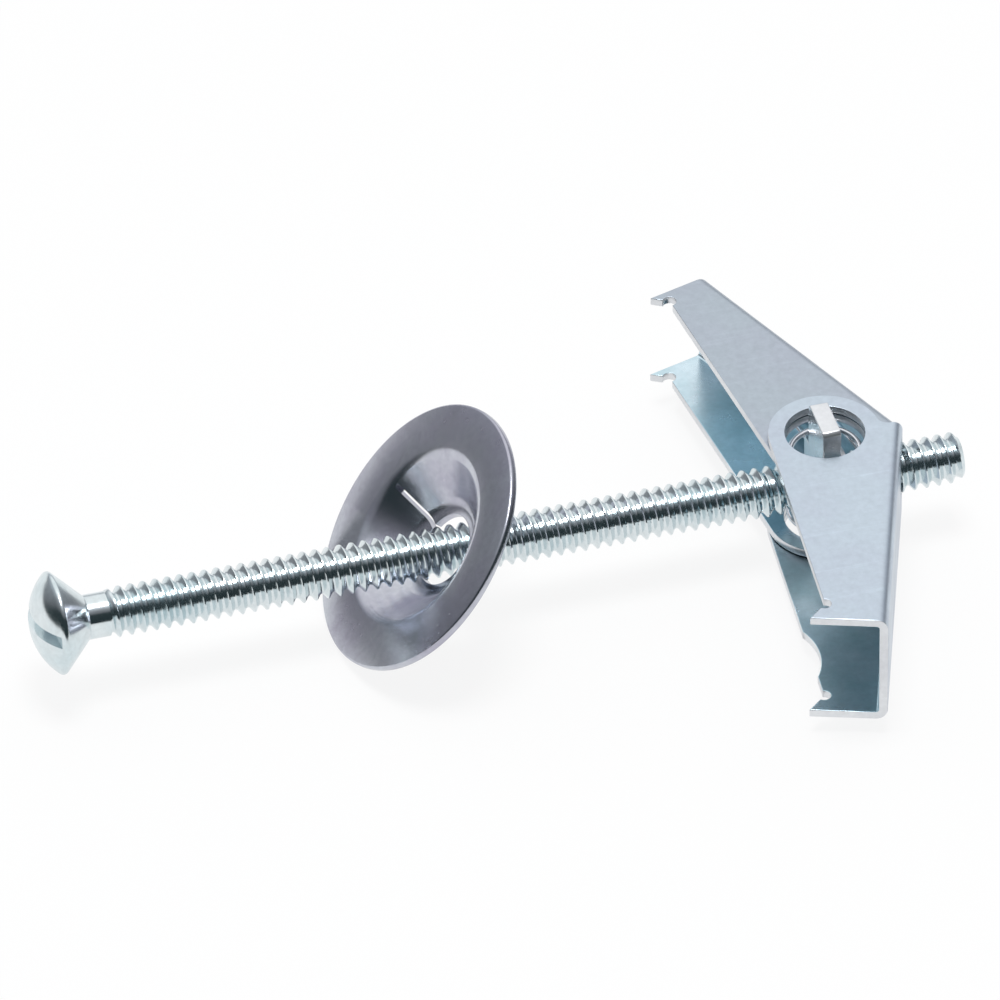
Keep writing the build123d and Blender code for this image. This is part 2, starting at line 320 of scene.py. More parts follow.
def cut_with_planes(bm, faces, planes):
    """Splits faces along planes, each a point and a normal, and returns all the faces."""
    for point, normal in planes:
        verts = {vert for face in faces for vert in face.verts}
        edges = {edge for face in faces for edge in face.edges}
        cut = bmesh.ops.bisect_plane(
            bm, geom=[*verts, *edges, *faces], dist=MERGE_DISTANCE, plane_co=point, plane_no=normal
        )
        faces = [item for item in cut["geom"] if isinstance(item, bmesh.types.BMFace)]
    return faces


def edges_on_plane(edges, point, normal):
    """The edges that lie in a plane."""
    normal = Vector(normal).normalized()
    return [
        edge
        for edge in edges
        if all(abs((vert.co - Vector(point)).dot(normal)) < MERGE_DISTANCE for vert in edge.verts)
    ]


def loose_ends(edges):
    """The two vertices at the ends of an open chain of edges."""
    count = {}
    for edge in edges:
        for vert in edge.verts:
            count[vert] = count.get(vert, 0) + 1
    return [vert for vert, times in count.items() if times == 1]


def bevel_edges(bm, edges, width, clamp=True):
    """Rounds edges a little."""
    bmesh.ops.bevel(
        bm,
        geom=edges,
        offset=width,
        offset_type="OFFSET",
        affect="EDGES",
        segments=BEVEL_STEPS,
        profile=ROUND_PROFILE,
        material=-1,
        clamp_overlap=clamp,
    )


def add_object(name, data):
    """A new object, which holds a mesh, a lamp or a camera, in the scene."""
    holder = bpy.data.objects.new(name, data)
    bpy.context.scene.collection.objects.link(holder)
    return holder


def finish_mesh(bm, name, body, nodes, material, placement=None):
    """Makes a piece of a shape in the bolt frame, lays it in place and says what it stands for.

    A piece without a body is left without a parent.
    """
    bmesh.ops.recalc_face_normals(bm, faces=bm.faces)
    bm.transform(bolt_frame @ Matrix.Scale(MM, 4) @ (placement or Matrix.Identity(4)))
    for face in bm.faces:
        face.smooth = True
    mesh = bpy.data.meshes.new(name)
    bm.to_mesh(mesh)
    bm.free()
    mesh.set_sharp_from_angle(angle=SHARP_ANGLE)
    piece = add_object(name, mesh)
    mesh.materials.append(material)
    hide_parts(*nodes)
    if body:
        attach(piece, body)
    return piece


def add_node(tree, kind, **values):
    """A node of a shader tree, with its settings and the values of its inputs."""
    node = tree.nodes.new(kind)
    for name, value in values.items():
        if name in node.inputs:
            node.inputs[name].default_value = value
        else:
            setattr(node, name, value)
    return node


def new_group(name, inputs, outputs):
    """An empty shader node group with named sockets, and its two end nodes."""
    group = bpy.data.node_groups.new(name, "ShaderNodeTree")
    for socket, kind in inputs:
        group.interface.new_socket(socket, in_out="INPUT", socket_type="NodeSocket" + kind)
    for socket, kind in outputs:
        group.interface.new_socket(socket, in_out="OUTPUT", socket_type="NodeSocket" + kind)
    return group, group.nodes.new("NodeGroupInput"), group.nodes.new("NodeGroupOutput")


def spread(tree, source, span):
    """A value carried over from one of the plate's ranges to the other."""
    node = add_node(tree, "ShaderNodeMapRange")
    for socket, value in zip(("From Min", "From Max", "To Min", "To Max"), PLATE_RANGES[span]):
        node.inputs[socket].default_value = value
    tree.links.new(source, node.inputs["Value"])
    return node.outputs["Result"]


def combine(tree, operation, first, second):
    """Two values of a shader tree made one."""
    node = add_node(tree, "ShaderNodeMath", operation=operation)
    tree.links.new(first, node.inputs[0])
    tree.links.new(second, node.inputs[1])
    return node.outputs["Value"]


def plate_noise(tree, kind, place):
    """One of the plate's noises, read at a place."""
    texture = add_node(tree, "ShaderNodeTexNoise", **PLATE_NOISES[kind])
    tree.links.new(place, texture.inputs["Vector"])
    return texture.outputs["Fac"]


def plate_group():
    """Colour, roughness and relief of bright zinc plate, shared by every material."""
    if "zinc_plate" in bpy.data.node_groups:
        return bpy.data.node_groups["zinc_plate"]
    group, given, result = new_group(
        "zinc_plate",
        (
            ("Metal", "Color"),
            ("Cast", "Color"),
            ("Cast share", "Float"),
            ("Roughness", "Float"),
            ("Rubbed", "Float"),
        ),
        (("Colour", "Color"), ("Roughness", "Float"), ("Relief", "Float")),
    )
    link = group.links.new
    place = add_node(group, "ShaderNodeTexCoord").outputs["Object"]
    along = add_node(group, "ShaderNodeMapping", Rotation=RUB_TURN, Scale=RUB_SCALE)
    link(place, along.inputs["Vector"])
    clouds = plate_noise(group, "clouds", place)
    mottle = plate_noise(group, "mottle", place)
    grain = plate_noise(group, "grain", place)
    rubs = plate_noise(group, "rubs", along.outputs["Vector"])

    cloud_share = spread(group, clouds, "cloud_share")
    cast_share = combine(group, "MULTIPLY", cloud_share, given.outputs["Cast share"])
    cast = add_node(group, "ShaderNodeMix", data_type="RGBA")
    link(cast_share, cast.inputs["Factor"])
    link(given.outputs["Metal"], cast.inputs["A"])
    link(given.outputs["Cast"], cast.inputs["B"])
    rubbed = combine(group, "MULTIPLY", spread(group, rubs, "rub_share"), given.outputs["Rubbed"])
    mottle_light = spread(group, mottle, "mottle_light")
    light = combine(group, "MULTIPLY", mottle_light, spread(group, rubbed, "rub_light"))
    tone = add_node(group, "ShaderNodeVectorMath", operation="SCALE")
    link(cast.outputs["Result"], tone.inputs["Vector"])
    link(light, tone.inputs["Scale"])
    link(tone.outputs["Vector"], result.inputs["Colour"])

    cloud_roughness = spread(group, clouds, "cloud_roughness")
    rough = combine(group, "ADD", given.outputs["Roughness"], cloud_roughness)
    rough = combine(group, "ADD", rough, spread(group, rubbed, "rub_roughness"))
    link(rough, result.inputs["Roughness"])

    mottle_relief = spread(group, mottle, "mottle_relief")
    relief = combine(group, "ADD", mottle_relief, spread(group, grain, "grain_relief"))
    link(relief, result.inputs["Relief"])
    return group


def plated_metal(kind, cast, cast_share, roughness_shift=0.0, relief=0.012, rubbed=0.0):
    """A zinc plated metal with its own colour, cast, gloss, relief and rub marks."""
    name = "plated_" + kind
    if name in bpy.data.materials:
        return bpy.data.materials[name]
    colours = scene_sizes("colours")
    material = bpy.data.materials.new(name)
    material.use_nodes = True
    tree = material.node_tree
    shader = tree.nodes["Principled BSDF"]
    shader.inputs["Metallic"].default_value = 1.0
    plate = add_node(tree, "ShaderNodeGroup", node_tree=plate_group())
    plate.inputs["Metal"].default_value = (*getattr(colours, kind), 1)
    plate.inputs["Cast"].default_value = (*getattr(colours, cast), 1)
    plate.inputs["Cast share"].default_value = cast_share
    plate.inputs["Rubbed"].default_value = rubbed
    plate.inputs["Roughness"].default_value = colours.roughness + roughness_shift
    bump = add_node(tree, "ShaderNodeBump", Strength=RELIEF_STRENGTH, Distance=relief * MM)
    tree.links.new(plate.outputs["Colour"], shader.inputs["Base Color"])
    tree.links.new(plate.outputs["Roughness"], shader.inputs["Roughness"])
    tree.links.new(plate.outputs["Relief"], bump.inputs["Height"])
    tree.links.new(bump.outputs["Normal"], shader.inputs["Normal"])
    return material


def plated(kind):
    """The plated metal that the table describes under a name."""
    return plated_metal(kind, **PLATES[kind])


def head_outline(bm, sizes):
    """Half section of the head and neck, from the middle of the dome to the end of the neck."""
    rim = -mm(sizes.head_rim)
    radius = mm(sizes.head_diameter) / 2
    neck_radius = mm(sizes.neck_diameter) / 2
    height = mm(sizes.dome_height)
    land = mm(sizes.rim_land)
    apex = rim - height
    dome_radius = (radius**2 + height**2) / (2 * height)
    opening = math.atan2(radius, dome_radius - height)
    cone_length = (radius - neck_radius) / math.tan(sizes.cone_angle / 2)
    dome = []
    for step in range(DOME_STEPS + 1):
        turn = opening * step / DOME_STEPS
        dome.append((apex + dome_radius * (1 - math.cos(turn)), 0, dome_radius * math.sin(turn)))
    under = [
        (rim + land, 0, radius),
        (rim + land + cone_length, 0, neck_radius),
        (rim + mm(sizes.neck_end) + mm(sizes.run_out) / 2, 0, neck_radius),
    ]
    return add_outline(bm, dome + under)


def cut_driver_slot(bm, sizes):
    """Saws the slot across the dome and closes its walls and floor."""
    rim = -mm(sizes.head_rim)
    floor = rim - mm(sizes.dome_height) + mm(sizes.slot_depth)
    low = mm(sizes.slot_offset) - mm(sizes.slot_width) / 2
    high = low + mm(sizes.slot_width)
    walls = [((0, 0, low), (0, 0, 1)), ((0, 0, high), (0, 0, 1))]
    bottom = ((floor, 0, 0), (1, 0, 0))
    dome = [face for face in bm.faces if face.calc_center_median().x < rim]
    waste = []
    for face in cut_with_planes(bm, dome, [*walls, bottom]):
        centre = face.calc_center_median()
        if centre.x < floor and low < centre.z < high:
            waste.append(face)
    bmesh.ops.delete(bm, geom=waste, context="FACES")
    deepest = floor + MERGE_DISTANCE
    rims = [edge for edge in bm.edges if edge.is_boundary and edge.verts[0].co.x < deepest]
    ends = edges_on_plane(rims, *bottom)
    lips = []
    closing = []
    for wall in walls:
        lip = [edge for edge in edges_on_plane(rims, *wall) if edge not in ends]
        chord = bm.edges.new(loose_ends(lip))
        bmesh.ops.edgeloop_fill(bm, edges=[*lip, chord])
        lips += lip
        closing.append(chord)
    bmesh.ops.edgeloop_fill(bm, edges=[*closing, *ends])
    return lips


def build_head():
    """Oval head with its driver slot, and the plain neck."""
    sizes = scene_sizes("screw")
    bm = bmesh.new()
    spin_round(bm, head_outline(bm, sizes), (1, 0, 0))
    bmesh.ops.edgeloop_fill(bm, edges=[edge for edge in bm.edges if edge.is_boundary])
    rim = -mm(sizes.head_rim)
    rim_edges = edges_on_plane(bm.edges, (rim, 0, 0), (1, 0, 0))
    rim_edges += edges_on_plane(bm.edges, (rim + mm(sizes.rim_land), 0, 0), (1, 0, 0))
    bevel_edges(bm, rim_edges, mm(sizes.rim_round))
    lips = cut_driver_slot(bm, sizes)
    bevel_edges(bm, lips, mm(sizes.slot_round))
    turn = Matrix.Rotation(sizes.slot_turn, 4, "X")
    return finish_mesh(bm, "screw_head", "screw", ["screw"], plated("screw"), turn)


def thread_outline(bm, sizes):
    """Section of one pitch of the thread, from the middle of a root to the middle of the next."""
    pitch = mm(sizes.pitch)
    root = mm(sizes.minor_diameter) / 2
    depth = mm(sizes.major_diameter) / 2 - root
    shares = [*THREAD_PROFILE, *((1 - along, out) for along, out in reversed(THREAD_PROFILE[:-1]))]
    start = mm(sizes.neck_end) - mm(sizes.head_rim) - THREAD_SPARE * pitch
    points = [(start + along * pitch, 0, root + out * depth) for along, out in shares]
    return add_outline(bm, points)


def thread_limit(sizes, along):
    """Greatest radius of the thread at a place along the bolt: less at the run-out and the tip."""
    major = mm(sizes.major_diameter) / 2
    minor = mm(sizes.minor_diameter) / 2
    start = mm(sizes.neck_end) - mm(sizes.head_rim)
    grown = min(1, max(0, (along - start) / mm(sizes.run_out)))
    to_tip = max(0, mm(sizes.tip) - along)
    return min(minor + (major - minor) * grown, major - mm(sizes.tip_chamfer) + to_tip)


def wind_turns(bm, pitch, turns):
    """Spins the outline once round as it climbs one pitch, then repeats the turn by doubling."""
    bmesh.ops.spin(
        bm,
        geom=bm.verts[:] + bm.edges[:],
        cent=(0, 0, 0),
        axis=(1, 0, 0),
        dvec=(pitch / THREAD_STEPS, 0, 0),
        angle=2 * math.pi,
        steps=THREAD_STEPS,
        use_merge=False,
        use_duplicate=False,
    )
    made = 1
    while made < turns:
        again = bmesh.ops.duplicate(bm, geom=bm.verts[:] + bm.edges[:] + bm.faces[:])
        copied = [item for item in again["geom"] if isinstance(item, bmesh.types.BMVert)]
        bmesh.ops.translate(bm, verts=copied, vec=(made * pitch, 0, 0))
        made *= 2
    bmesh.ops.remove_doubles(bm, verts=bm.verts, dist=MERGE_DISTANCE)


def build_thread():
    """Right-hand thread from the neck to the tip, a real helix with a bevelled tip."""
    sizes = scene_sizes("screw")
    pitch = mm(sizes.pitch)
    start = mm(sizes.neck_end) - mm(sizes.head_rim)
    tip = mm(sizes.tip)
    bm = bmesh.new()
    thread_outline(bm, sizes)
    wind_turns(bm, pitch, (tip - start) / pitch + 2 * THREAD_SPARE)
    for along, normal in ((start, -1), (tip, 1)):
        bmesh.ops.bisect_plane(
            bm,
            geom=[*bm.verts, *bm.edges, *bm.faces],
            dist=CUT_DISTANCE,
            plane_co=(along, 0, 0),
            plane_no=(normal, 0, 0),
            clear_outer=True,
        )
    for vert in bm.verts:
        radius = math.hypot(vert.co.y, vert.co.z)
        share = min(1, thread_limit(sizes, vert.co.x) / radius)
        vert.co.y *= share
        vert.co.z *= share
    bmesh.ops.holes_fill(bm, edges=[edge for edge in bm.edges if edge.is_boundary], sides=0)
    return finish_mesh(bm, "screw_thread", "screw", ["screw"], plated("screw"))


def washer_section(bm, sizes):
    """Section of the washer, rounded at its bends and at the rim, as a ring of edges."""
    sheet = mm(sizes.sheet)
    floor = sheet / 2
    brim = floor + mm(sizes.dish_depth)
    hole = mm(sizes.hole_radius)
    inner = mm(sizes.floor_diameter) / 2
    mouth = mm(sizes.mouth_diameter) / 2
    rim = mm(sizes.diameter) / 2
    slope = math.atan2(mm(sizes.dish_depth), mouth - inner)
    shift = sheet * math.tan(slope / 2)
    corners = [
        (hole, 0, floor),
        (inner, 0, floor),
        (mouth, 0, brim),
        (rim, 0, brim),
        (rim, 0, brim - sheet),
        (mouth + shift, 0, brim - sheet),
        (inner + shift, 0, floor - sheet),
        (hole, 0, floor - sheet),
    ]
    verts, _ = add_outline(bm, corners, closed=True)
    face = bm.faces.new(verts)
    bends = [verts[1], verts[2], verts[5], verts[6]]
    reach = mm(sizes.bend_radius) * math.tan(slope / 2)
    rounds = [
        (bends, reach, WASHER_BEND_STEPS),
        (verts[3:5], mm(sizes.edge_radius), WASHER_RIM_STEPS),
        ([verts[0], verts[7]], mm(sizes.hole_round), WASHER_HOLE_STEPS),
    ]
    for picked, offset, segments in rounds:
        bmesh.ops.bevel(
            bm,
            geom=picked,
            offset=offset,
            offset_type="OFFSET",
            affect="VERTICES",
            segments=segments,
            profile=ROUND_PROFILE,
            material=-1,
        )
    bmesh.ops.delete(bm, geom=bm.faces[:], context="FACES_ONLY")
    return bm.verts[:], bm.edges[:]


def cut_washer_slit(bm, sizes):
    """Opens the slit from the hole into the wall of the dish, and closes its cut sides."""
    half = mm(sizes.slit_width) / 2
    reach = mm(sizes.slit_reach)
    sides = [((half, 0, 0), (1, 0, 0)), ((-half, 0, 0), (1, 0, 0))]
    end = ((0, reach, 0), (0, 1, 0))
    near = [face for face in bm.faces if face.calc_center_median().y > 0]
    waste = []
    for face in cut_with_planes(bm, near, [*sides, end]):
        centre = face.calc_center_median()
        if abs(centre.x) < half and 0 < centre.y < reach:
            waste.append(face)
    bmesh.ops.delete(bm, geom=waste, context="FACES")
    open_edges = [edge for edge in bm.edges if edge.is_boundary]
    end_edges = edges_on_plane(open_edges, *end)
    corners = {vert for edge in end_edges for vert in edge.verts}
    uprights = []
    for plane in sides:
        pair = [vert for vert in corners if abs(vert.co.x - plane[0][0]) < MERGE_DISTANCE]
        upright = bm.edges.new(pair)
        bmesh.ops.edgeloop_fill(bm, edges=[*edges_on_plane(open_edges, *plane), upright])
        uprights.append(upright)
    bmesh.ops.edgeloop_fill(bm, edges=[*end_edges, *uprights])


def build_washer():
    """Pressed washer leaning on the screw, its concave side to the head."""
    sizes = scene_sizes("washer")
    bm = bmesh.new()
    spin_round(bm, washer_section(bm, sizes), (0, 0, 1))
    cut_washer_slit(bm, sizes)
    lean = sizes.lean
    facing = Vector((-math.cos(lean), 0, math.sin(lean)))
    upward = Vector((math.sin(lean), 0, math.cos(lean)))
    leaning = Matrix((upward, facing.cross(upward), facing)).transposed().to_4x4()
    leaning.translation = (mm(sizes.station), 0, 0)
    metal = plated("washer")
    return finish_mesh(bm, "dished_washer", "washer", ["washer"], metal, leaning)


def merged_copy(node):
    """A CAD solid as a closed mesh in the bolt frame, in millimetres, its flat faces whole."""
    bm = bmesh.new()
    bm.from_mesh(frame["nodes"][node].data)
    bm.transform(Matrix.Scale(1 / MM, 4) @ bolt_frame.inverted())
    bmesh.ops.remove_doubles(bm, verts=bm.verts, dist=MERGE_DISTANCE)
    bmesh.ops.dissolve_limit(bm, angle_limit=FLAT_ANGLE, verts=bm.verts, edges=bm.edges)
    return bm


def build_stamping(name, node, body, finish, other_finishes=()):
    """A stamped piece with the rounded edges that shearing and plating leave.

    Each of the other finishes is a material and the test that picks its faces.
    """
    bm = merged_copy(node)
    sharp = [edge for edge in bm.edges if edge.calc_face_angle(0) > SHARP_ANGLE]
    bevel_edges(bm, sharp, mm(scene_sizes("toggle").edge_round), clamp=False)
    bm.normal_update()
    for index, (_, picks) in enumerate(other_finishes, start=1):
        for face in bm.faces:
            if picks(face):
                face.material_index = index
    piece = finish_mesh(bm, name, body, [node], finish)
    for material, _ in other_finishes:
        piece.data.materials.append(material)
    piece.modifiers.new("flat_faces_first", "WEIGHTED_NORMAL").keep_sharp = True
    return piece


def lies_in_channel(side, offset, slope):
    """Test for the faces on the inside of a wing's channel."""
    _, outward = web_directions(side, slope)
    bend = mm(offset) - mm(scene_sizes("toggle").bend_radius)

    def picks(face):
        centre = face.calc_center_median()
        inside_ear = face.normal.z * centre.z < -abs(centre.z) * INNER_EAR_FACING
        inside_web = face.normal.dot(outward) < -INNER_WEB_FACING
        return inside_ear or (inside_web and centre.dot(outward) >= bend)

    return picks


def is_sheared(side, offset, slope):
    """Test for the faces on a wing's cut edges: of the ears, the holes, the ends and the notch."""
    along, outward = web_directions(side, slope)
    bend = mm(offset) - mm(scene_sizes("toggle").bend_radius)
    notch = mm(scene_sizes("toggle").notch_radius)

    def picks(face):
        centre = face.calc_center_median()
        if centre.dot(outward) < bend:
            return abs(face.normal.z) < EAR_FACING
        beside_notch = abs(centre.z) < notch * NOTCH_MARGIN
        in_notch = beside_notch and abs(face.normal.dot(outward)) < EDGE_FACING
        return in_notch or abs(face.normal.dot(along)) > EDGE_FACING

    return picks


def build_wing(name, node, side, offset, slope, finish):
    """A channel wing: its outside, its bluer inside and its sheared edges."""
    others = (
        (plated("wing_inside"), lies_in_channel(side, offset, slope)),
        # Cut edges get a lighter colour, a painted highlight.
        (plated("sheared_edge_highlight"), is_sheared(side, offset, slope)),
    )
    return build_stamping(name, node, node, finish, others)


def web_directions(side, slope):
    """Along an open wing's web to its end, and from the pivot square to the web."""
    along = Vector((-math.sin(slope), side * math.cos(slope), 0))
    outward = Vector((math.cos(slope), side * math.sin(slope), 0))
    return along, outward


def leg_end(sizes, side, offset, slope, reach):
    """Where a leg of the spring bears on the inside of a wing's web."""
    along, outward = web_directions(side, slope)
    inside = offset - sizes.wing_sheet - sizes.wire_diameter / 2 - sizes.wire_clearance
    return outward * mm(inside) + along * mm(reach)


def leg_start_angle(sizes, side, end):
    """Angle on the coil from which a straight leg runs to its end."""
    return math.atan2(end.y, end.x) - side * math.acos(mm(sizes.coil_radius) / end.length)


def start_wire(bm, sizes, angle, height):
    """Ring of wire that stands across the coil at an angle and a height."""
    place = Matrix.Rotation(angle, 4, "Z") @ Matrix.Translation((mm(sizes.coil_radius), 0, height))
    across = place @ Matrix.Rotation(math.pi / 2, 4, "X")
    radius = mm(sizes.wire_diameter) / 2
    ring = bmesh.ops.create_circle(bm, segments=WIRE_SIDES, radius=radius, matrix=across)
    return list({edge for vert in ring["verts"] for edge in vert.link_edges})


def verts_of(edges):
    """The vertices of some edges."""
    return list({vert for edge in edges for vert in edge.verts})


def middle_of(verts):
    """The point amid some vertices."""
    return sum((vert.co for vert in verts), Vector()) / len(verts)


def turn_wire(bm, edges, centre, axis, angle, rise=0.0, steps=CORNER_STEPS):
    """Carries the wire on round an axis, and along it where the turn climbs."""
    turned = bmesh.ops.spin(
        bm,
        geom=verts_of(edges) + edges,
        cent=centre,
        axis=axis,
        dvec=Vector(axis) * (rise / steps),
        angle=angle,
        steps=steps,
        use_merge=False,
        use_duplicate=False,
    )
    return [item for item in turned["geom_last"] if isinstance(item, bmesh.types.BMEdge)]


def run_wire(bm, edges, way):
    """Carries the wire straight on."""
    longer = bmesh.ops.extrude_edge_only(bm, edges=edges)
    verts = [item for item in longer["geom"] if isinstance(item, bmesh.types.BMVert)]
    bmesh.ops.translate(bm, verts=verts, vec=way)
    return [item for item in longer["geom"] if isinstance(item, bmesh.types.BMEdge)]


def round_off_wire(bm, edges, way):
    """Rounds the end of the wire off and closes it."""
    radius = (edges[0].verts[0].co - middle_of(verts_of(edges))).length
    turns = [math.radians(turn) for turn in WIRE_END_ANGLES]
    for before, turn in zip(turns, turns[1:]):
        edges = run_wire(bm, edges, way * radius * (math.sin(turn) - math.sin(before)))
        verts = verts_of(edges)
        shrink = math.cos(turn) / math.cos(before)
        space = Matrix.Translation(-middle_of(verts))
        bmesh.ops.scale(bm, vec=(shrink, shrink, shrink), space=space, verts=verts)
    bmesh.ops.edgeloop_fill(bm, edges=edges)


def coil_plan(sizes):
    """Angles at which the coil meets the bridge and the leg, and where both of these end."""
    inner_end = leg_end(sizes, 1, sizes.inner_offset, sizes.inner_angle, sizes.inner_leg)
    outer_end = leg_end(sizes, -1, sizes.outer_offset, sizes.outer_angle, sizes.outer_leg)
    inner = leg_start_angle(sizes, 1, inner_end)
    outer = leg_start_angle(sizes, -1, outer_end) - 2 * math.pi
    return inner, outer, inner_end, outer_end


def coil_height(sizes, angle, side):
    """Height of the coil at an angle: it climbs evenly from the bridge to the leg."""
    inner, outer, _, _ = coil_plan(sizes)
    share = (angle - inner) / (outer - inner)
    return side * (mm(sizes.coil_low) + (mm(sizes.coil_high) - mm(sizes.coil_low)) * share)


def wind_coil(bm, sizes, start, end, side):
    """Winds the wire from one angle of the coil to another, closed where it starts."""
    low = coil_height(sizes, start, side)
    high = coil_height(sizes, end, side)
    edges = start_wire(bm, sizes, start, low)
    bmesh.ops.edgeloop_fill(bm, edges=edges)
    return turn_wire(bm, edges, (0, 0, 0), (0, 0, 1), end - start, high - low, COIL_STEPS)


def coil_point(sizes, angle, height):
    """Point on the middle line of the coil."""
    radius = mm(sizes.coil_radius)
    return Vector((radius * math.cos(angle), radius * math.sin(angle), height))


def finish_wire(bm, name):
    """Makes a piece of the spring with no body, its placement baked into the mesh.
    """
    piece = finish_mesh(bm, name, None, ["wing_spring"], plated("spring"))
    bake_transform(piece)
    return piece


def build_outer_leg(name, side):
    """Third of a coil, with the straight leg that presses on the outer wing."""
    sizes = scene_sizes("toggle")
    _, outer, _, outer_end = coil_plan(sizes)
    high = coil_height(sizes, outer, side)
    bm = bmesh.new()
    edges = wind_coil(bm, sizes, outer + SPRING_SPLIT, outer, side)
    leg = Vector((outer_end.x, outer_end.y, high)) - coil_point(sizes, outer, high)
    edges = run_wire(bm, edges, leg)
    round_off_wire(bm, edges, leg.normalized())
    return finish_wire(bm, name)


def build_inner_part(name, side, with_bridge):
    """Third of a coil, and on one side the bridge that presses on the inner wing."""
    sizes = scene_sizes("toggle")
    inner, _, inner_end, _ = coil_plan(sizes)
    low = coil_height(sizes, inner, side)
    leg = Vector((inner_end.x, inner_end.y, low)) - coil_point(sizes, inner, low)
    way = leg.normalized()
    bm = bmesh.new()
    edges = wind_coil(bm, sizes, inner - SPRING_SPLIT, inner, side)
    if with_bridge:
        corner = mm(sizes.bridge_corner)
        down = Vector((0, 0, -side))
        axis = way.cross(down)
        edges = run_wire(bm, edges, leg - way * corner)
        bend = Vector((inner_end.x, inner_end.y, low)) - way * corner + down * corner
        drop = down * (2 * abs(low) - 2 * corner)
        edges = turn_wire(bm, edges, bend, axis, math.pi / 2)
        edges = run_wire(bm, edges, drop)
        edges = turn_wire(bm, edges, bend + drop, axis, math.pi / 2)
        edges = run_wire(bm, edges, way * corner - leg)
    bmesh.ops.edgeloop_fill(bm, edges=edges)
    return finish_wire(bm, name)


def build_coil_middle(name, side):
    """Stretch of a coil that stays with the nut."""
    sizes = scene_sizes("toggle")
    inner, outer, _, _ = coil_plan(sizes)
    bm = bmesh.new()
    edges = wind_coil(bm, sizes, inner - SPRING_SPLIT, outer + SPRING_SPLIT, side)
    bmesh.ops.edgeloop_fill(bm, edges=edges)
    return finish_mesh(bm, name, "nut", ["wing_spring"], plated("spring"))


class TOGGLE_BOLT_OT_screw(bpy.types.Operator):
    """Build the screw: its slotted head, its neck and a real helical thread."""

    bl_idname = "toggle_bolt.screw"
    bl_label = "Screw"

    def execute(self, context):
        build_head()
        build_thread()
        return {"FINISHED"}


class TOGGLE_BOLT_OT_washer(bpy.types.Operator):
    """Build the dished washer with its slit."""

    bl_idname = "toggle_bolt.washer"
    bl_label = "Washer"

    def execute(self, context):
        build_washer()
        return {"FINISHED"}


class TOGGLE_BOLT_OT_nut(bpy.types.Operator):
    """Build the trunnion nut."""

    bl_idname = "toggle_bolt.nut"
    bl_label = "Nut"

    def execute(self, context):
        # The nut's cut edges get a lighter colour, a painted highlight.
        edges = (plated("sheared_edge_highlight"), lambda face: abs(face.normal.x) < EDGE_FACING)
        metal = plated("nut")
        build_stamping("stamped_nut", "trunnion_nut", "nut", metal, [edges])
        return {"FINISHED"}


class TOGGLE_BOLT_OT_wings(bpy.types.Operator):
    """Build the two channel wings."""

    bl_idname = "toggle_bolt.wings"
    bl_label = "Wings"

    def execute(self, context):
        sizes = scene_sizes("toggle")
        outer = (-1, sizes.outer_offset, sizes.outer_angle)
        inner = (1, sizes.inner_offset, sizes.inner_angle)
        build_wing("outer_channel", "outer_wing", *outer, plated("outer_wing"))
        # The inner wing's darker plate is painted shade.
        build_wing("inner_channel", "inner_wing", *inner, plated("inner_wing"))
        return {"FINISHED"}


class TOGGLE_BOLT_OT_spring(bpy.types.Operator):
    """Build the wire spring in pieces: its legs, its bridge and its coils."""

    bl_idname = "toggle_bolt.spring"
    bl_label = "Spring"

    def execute(self, context):
        build_outer_leg("spring_upper_leg", 1)
        build_outer_leg("spring_lower_leg", -1)
        build_coil_middle("spring_upper_coil", 1)
        build_coil_middle("spring_lower_coil", -1)
        build_inner_part("spring_bridge", 1, True)
        build_inner_part("spring_lower_start", -1, False)
        return {"FINISHED"}


def add_lamp():
    """A soft round lamp above the bolt, which looks straight down."""
    lamp = bpy.data.lights.new("lamp_above", "AREA")
    lamp.shape = "DISK"
    lamp.size = LAMP_WIDTH
    lamp.energy = LAMP_POWER
    add_object("lamp_above", lamp).location = LAMP_PLACE


def add_camera():
    """Long lens at the photograph's angle, framed as the photograph is."""
    turn = math.radians(CAMERA_AZIMUTH)
    rise = math.radians(CAMERA_ELEVATION)
    level = math.cos(rise)
    turned = bolt_frame.to_3x3()
    back = turned @ Vector((math.sin(turn) * level, -math.cos(turn) * level, math.sin(rise)))
    right = turned @ Vector((math.cos(turn), math.sin(turn), 0))
    up = back.cross(right)
    centre = pivot + right * FRAME_CENTRE[0] * MM + up * FRAME_CENTRE[1] * MM
    camera = bpy.data.cameras.new("photo_camera")
    camera.lens = camera.sensor_width * CAMERA_DISTANCE / (FRAME_WIDTH * MM)
    camera.clip_end = CAMERA_REACH
    holder = add_object("photo_camera", camera)
    holder.location = centre + back * CAMERA_DISTANCE
    holder.rotation_mode = "QUATERNION"
    holder.rotation_quaternion = Matrix((right, up, back)).transposed().to_quaternion()
    bpy.context.scene.camera = holder


